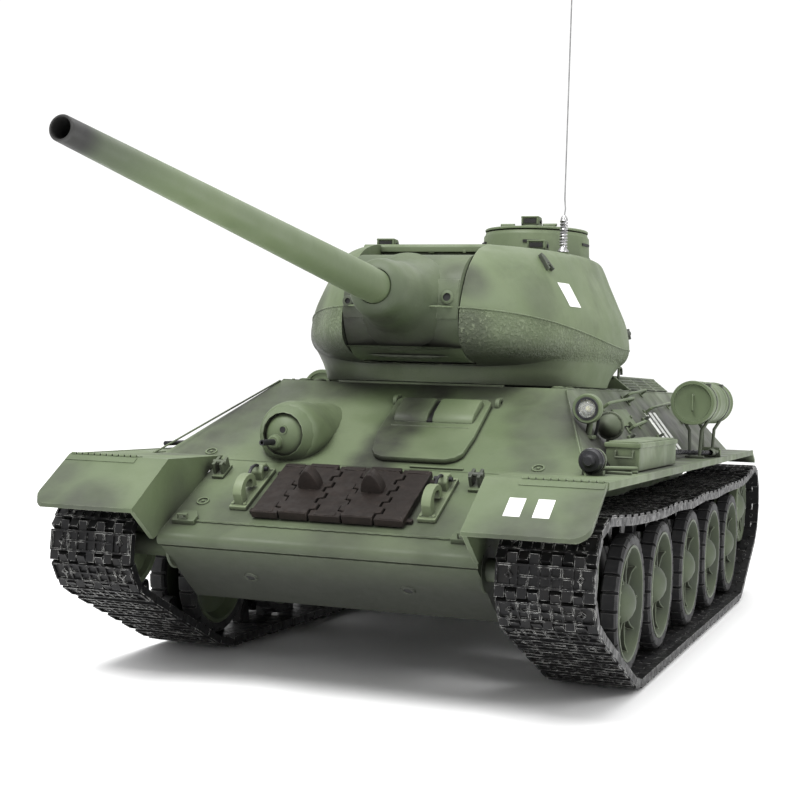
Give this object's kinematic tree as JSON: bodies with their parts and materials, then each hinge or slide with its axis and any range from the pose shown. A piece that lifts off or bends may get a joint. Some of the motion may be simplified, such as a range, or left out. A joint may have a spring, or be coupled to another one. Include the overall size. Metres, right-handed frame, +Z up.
{
  "type": "radio controlled tank",
  "caption": "Radio-controlled model of a medium tank with a turning turret, elevating gun, sprung road wheels, opening hatches and tracks.",
  "frame": {"origin": "middle of the footprint, on the ground under the tracks", "axes": "-Y is the way the tank faces, +X is its left side, +Z is up"},
  "size_m": [0.1888, 0.53, 0.262],
  "materials": {
    "hull_paint": "matt green paint with darker airbrushed shading",
    "wheel_paint": "matt green paint, worn at the rims, black rubber tyres",
    "arm_paint": "dark green paint",
    "barrel_paint": "matt green paint, sooty black at the muzzle",
    "track_link": "black with silver dry-brushed edges",
    "spare_link": "rusty brown with worn edges",
    "dark_fittings": "dark olive paint",
    "lamp_lens": "clear lens over a white lamp",
    "antenna_steel": "bright wire",
    "battery_wrap": "shrink wrap",
    "board": "green laminate",
    "black_moulding": "black nylon"
  },
  "bodies": {
    "hull": {"lower_hull": "hull_paint", "battery_door": "hull_paint", "upper_hull": "hull_paint", "tow_hook_left": "dark_fittings", "tow_hook_right": "dark_fittings", "exhaust_left": "dark_fittings", "exhaust_right": "dark_fittings", "gearbox_left": "black_moulding", "gearbox_right": "black_moulding", "spare_tracks": "spare_link", "engine_deck": "hull_paint", "rear_hatch": "hull_paint", "fuel_drum_left": "hull_paint", "fuel_drum_right_front": "hull_paint", "fuel_drum_right_rear": "hull_paint", "toolbox": "hull_paint", "headlight": "hull_paint", "headlight_lens": "lamp_lens", "horn": "dark_fittings", "battery_pack": "battery_wrap", "control_board": "board", "speaker": "black_moulding", "track_left": "track_link", "track_right": "track_link"},
    "turret": {"turret_shell": "hull_paint", "cupola": "hull_paint", "gunner_periscope": "hull_paint", "loader_periscope": "hull_paint", "antenna": "antenna_steel"},
    "gun": {"mantlet": "hull_paint"},
    "barrel": {"gun_barrel": "barrel_paint"},
    "cupola_lid": {"cupola_hatch": "hull_paint", "cupola_periscope": "hull_paint"},
    "loader_lid": {"loader_hatch": "hull_paint"},
    "driver_lid": {"driver_hatch": "hull_paint"},
    "bow_gun": {"bow_gun": "hull_paint"},
    "swing_left_1": {"arm_left_1": "arm_paint"},
    "road_left_1": {"wheel_left_1": "wheel_paint"},
    "swing_left_2": {"arm_left_2": "arm_paint"},
    "road_left_2": {"wheel_left_2": "wheel_paint"},
    "swing_left_3": {"arm_left_3": "arm_paint"},
    "road_left_3": {"wheel_left_3": "wheel_paint"},
    "swing_left_4": {"arm_left_4": "arm_paint"},
    "road_left_4": {"wheel_left_4": "wheel_paint"},
    "swing_left_5": {"arm_left_5": "arm_paint"},
    "road_left_5": {"wheel_left_5": "wheel_paint"},
    "idler_left": {"idler_left": "wheel_paint"},
    "sprocket_left": {"sprocket_left": "wheel_paint"},
    "swing_right_1": {"arm_right_1": "arm_paint"},
    "road_right_1": {"wheel_right_1": "wheel_paint"},
    "swing_right_2": {"arm_right_2": "arm_paint"},
    "road_right_2": {"wheel_right_2": "wheel_paint"},
    "swing_right_3": {"arm_right_3": "arm_paint"},
    "road_right_3": {"wheel_right_3": "wheel_paint"},
    "swing_right_4": {"arm_right_4": "arm_paint"},
    "road_right_4": {"wheel_right_4": "wheel_paint"},
    "swing_right_5": {"arm_right_5": "arm_paint"},
    "road_right_5": {"wheel_right_5": "wheel_paint"},
    "idler_right": {"idler_right": "wheel_paint"},
    "sprocket_right": {"sprocket_right": "wheel_paint"}
  },
  "joints": [
    {"name": "turret_traverse", "type": "hinge", "parent": "hull", "child": "turret", "pos_m": [0, 0.03753, 0.1032], "axis": [0, 0, 1], "range_deg": [-160, 160]},
    {"name": "gun_elevation", "type": "hinge", "parent": "turret", "child": "gun", "pos_m": [0, -0.02487, 0.131], "axis": [-1, 0, 0], "range_deg": [-11, 14]},
    {"name": "barrel_recoil", "type": "slide", "parent": "gun", "child": "barrel", "axis": [0, 0.9942, -0.108], "range_m": [0, 0.01], "stiffness_N_per_m": 150, "springref_m": -0.002},
    {"name": "cupola_hatch_hinge", "type": "hinge", "parent": "turret", "child": "cupola_lid", "pos_m": [0.022, 0.07903, 0.1686], "axis": [-1, 0, 0], "range_deg": [0, 95]},
    {"name": "loader_hatch_hinge", "type": "hinge", "parent": "turret", "child": "loader_lid", "pos_m": [-0.023, 0.05543, 0.1577], "axis": [-1, 0, 0], "range_deg": [0, 100]},
    {"name": "driver_hatch_hinge", "type": "hinge", "parent": "hull", "child": "driver_lid", "pos_m": [0.016, -0.03305, 0.09583], "axis": [-1, 0, 0], "range_deg": [0, 60]},
    {"name": "bow_gun_swivel", "type": "hinge", "parent": "hull", "child": "bow_gun", "pos_m": [-0.0305, -0.06737, 0.0833], "axis": [0, 0, 1], "range_deg": [-12, 12]},
    {"name": "suspension_left_1", "type": "hinge", "parent": "hull", "child": "swing_left_1", "pos_m": [0.058, -0.06187, 0.038], "axis": [1, 0, 0], "range_deg": [0, 8], "stiffness_Nm_per_rad": 0.3, "springref_deg": -11.46},
    {"name": "spin_left_1", "type": "hinge", "parent": "swing_left_1", "child": "road_left_1", "pos_m": [0.079, -0.04187, 0.0293], "axis": [1, 0, 0], "continuous": true},
    {"name": "suspension_left_2", "type": "hinge", "parent": "hull", "child": "swing_left_2", "pos_m": [0.058, -0.00437, 0.038], "axis": [1, 0, 0], "range_deg": [0, 8], "stiffness_Nm_per_rad": 0.3, "springref_deg": -11.46},
    {"name": "spin_left_2", "type": "hinge", "parent": "swing_left_2", "child": "road_left_2", "pos_m": [0.079, 0.01563, 0.0293], "axis": [1, 0, 0], "continuous": true},
    {"name": "suspension_left_3", "type": "hinge", "parent": "hull", "child": "swing_left_3", "pos_m": [0.058, 0.06163, 0.038], "axis": [1, 0, 0], "range_deg": [0, 8], "stiffness_Nm_per_rad": 0.3, "springref_deg": -11.46},
    {"name": "spin_left_3", "type": "hinge", "parent": "swing_left_3", "child": "road_left_3", "pos_m": [0.079, 0.08163, 0.0293], "axis": [1, 0, 0], "continuous": true},
    {"name": "suspension_left_4", "type": "hinge", "parent": "hull", "child": "swing_left_4", "pos_m": [0.058, 0.12013, 0.038], "axis": [1, 0, 0], "range_deg": [0, 8], "stiffness_Nm_per_rad": 0.3, "springref_deg": -11.46},
    {"name": "spin_left_4", "type": "hinge", "parent": "swing_left_4", "child": "road_left_4", "pos_m": [0.079, 0.14013, 0.0293], "axis": [1, 0, 0], "continuous": true},
    {"name": "suspension_left_5", "type": "hinge", "parent": "hull", "child": "swing_left_5", "pos_m": [0.058, 0.17863, 0.038], "axis": [1, 0, 0], "range_deg": [0, 8], "stiffness_Nm_per_rad": 0.3, "springref_deg": -11.46},
    {"name": "spin_left_5", "type": "hinge", "parent": "swing_left_5", "child": "road_left_5", "pos_m": [0.079, 0.19863, 0.0293], "axis": [1, 0, 0], "continuous": true},
    {"name": "idler_spin_left", "type": "hinge", "parent": "hull", "child": "idler_left", "pos_m": [0.079, -0.10447, 0.045], "axis": [1, 0, 0], "continuous": true},
    {"name": "sprocket_spin_left", "type": "hinge", "parent": "hull", "child": "sprocket_left", "pos_m": [0.079, 0.24163, 0.0442], "axis": [1, 0, 0], "continuous": true},
    {"name": "suspension_right_1", "type": "hinge", "parent": "hull", "child": "swing_right_1", "pos_m": [-0.058, -0.06187, 0.038], "axis": [1, 0, 0], "range_deg": [0, 8], "stiffness_Nm_per_rad": 0.3, "springref_deg": -11.46},
    {"name": "spin_right_1", "type": "hinge", "parent": "swing_right_1", "child": "road_right_1", "pos_m": [-0.079, -0.04187, 0.0293], "axis": [1, 0, 0], "continuous": true},
    {"name": "suspension_right_2", "type": "hinge", "parent": "hull", "child": "swing_right_2", "pos_m": [-0.058, -0.00437, 0.038], "axis": [1, 0, 0], "range_deg": [0, 8], "stiffness_Nm_per_rad": 0.3, "springref_deg": -11.46},
    {"name": "spin_right_2", "type": "hinge", "parent": "swing_right_2", "child": "road_right_2", "pos_m": [-0.079, 0.01563, 0.0293], "axis": [1, 0, 0], "continuous": true},
    {"name": "suspension_right_3", "type": "hinge", "parent": "hull", "child": "swing_right_3", "pos_m": [-0.058, 0.06163, 0.038], "axis": [1, 0, 0], "range_deg": [0, 8], "stiffness_Nm_per_rad": 0.3, "springref_deg": -11.46},
    {"name": "spin_right_3", "type": "hinge", "parent": "swing_right_3", "child": "road_right_3", "pos_m": [-0.079, 0.08163, 0.0293], "axis": [1, 0, 0], "continuous": true},
    {"name": "suspension_right_4", "type": "hinge", "parent": "hull", "child": "swing_right_4", "pos_m": [-0.058, 0.12013, 0.038], "axis": [1, 0, 0], "range_deg": [0, 8], "stiffness_Nm_per_rad": 0.3, "springref_deg": -11.46},
    {"name": "spin_right_4", "type": "hinge", "parent": "swing_right_4", "child": "road_right_4", "pos_m": [-0.079, 0.14013, 0.0293], "axis": [1, 0, 0], "continuous": true},
    {"name": "suspension_right_5", "type": "hinge", "parent": "hull", "child": "swing_right_5", "pos_m": [-0.058, 0.17863, 0.038], "axis": [1, 0, 0], "range_deg": [0, 8], "stiffness_Nm_per_rad": 0.3, "springref_deg": -11.46},
    {"name": "spin_right_5", "type": "hinge", "parent": "swing_right_5", "child": "road_right_5", "pos_m": [-0.079, 0.19863, 0.0293], "axis": [1, 0, 0], "continuous": true},
    {"name": "idler_spin_right", "type": "hinge", "parent": "hull", "child": "idler_right", "pos_m": [-0.079, -0.10447, 0.045], "axis": [1, 0, 0], "continuous": true},
    {"name": "sprocket_spin_right", "type": "hinge", "parent": "hull", "child": "sprocket_right", "pos_m": [-0.079, 0.24163, 0.0442], "axis": [1, 0, 0], "continuous": true}
  ],
  "couplings": [
    {"joint": "spin_left_1", "follows": "sprocket_spin_left", "ratio": 0.75833},
    {"joint": "spin_left_2", "follows": "sprocket_spin_left", "ratio": 0.75833},
    {"joint": "spin_left_3", "follows": "sprocket_spin_left", "ratio": 0.75833},
    {"joint": "spin_left_4", "follows": "sprocket_spin_left", "ratio": 0.75833},
    {"joint": "spin_left_5", "follows": "sprocket_spin_left", "ratio": 0.75833},
    {"joint": "idler_spin_left", "follows": "sprocket_spin_left", "ratio": 1.2133},
    {"joint": "spin_right_1", "follows": "sprocket_spin_right", "ratio": 0.75833},
    {"joint": "spin_right_2", "follows": "sprocket_spin_right", "ratio": 0.75833},
    {"joint": "spin_right_3", "follows": "sprocket_spin_right", "ratio": 0.75833},
    {"joint": "spin_right_4", "follows": "sprocket_spin_right", "ratio": 0.75833},
    {"joint": "spin_right_5", "follows": "sprocket_spin_right", "ratio": 0.75833},
    {"joint": "idler_spin_right", "follows": "sprocket_spin_right", "ratio": 1.2133}
  ]
}
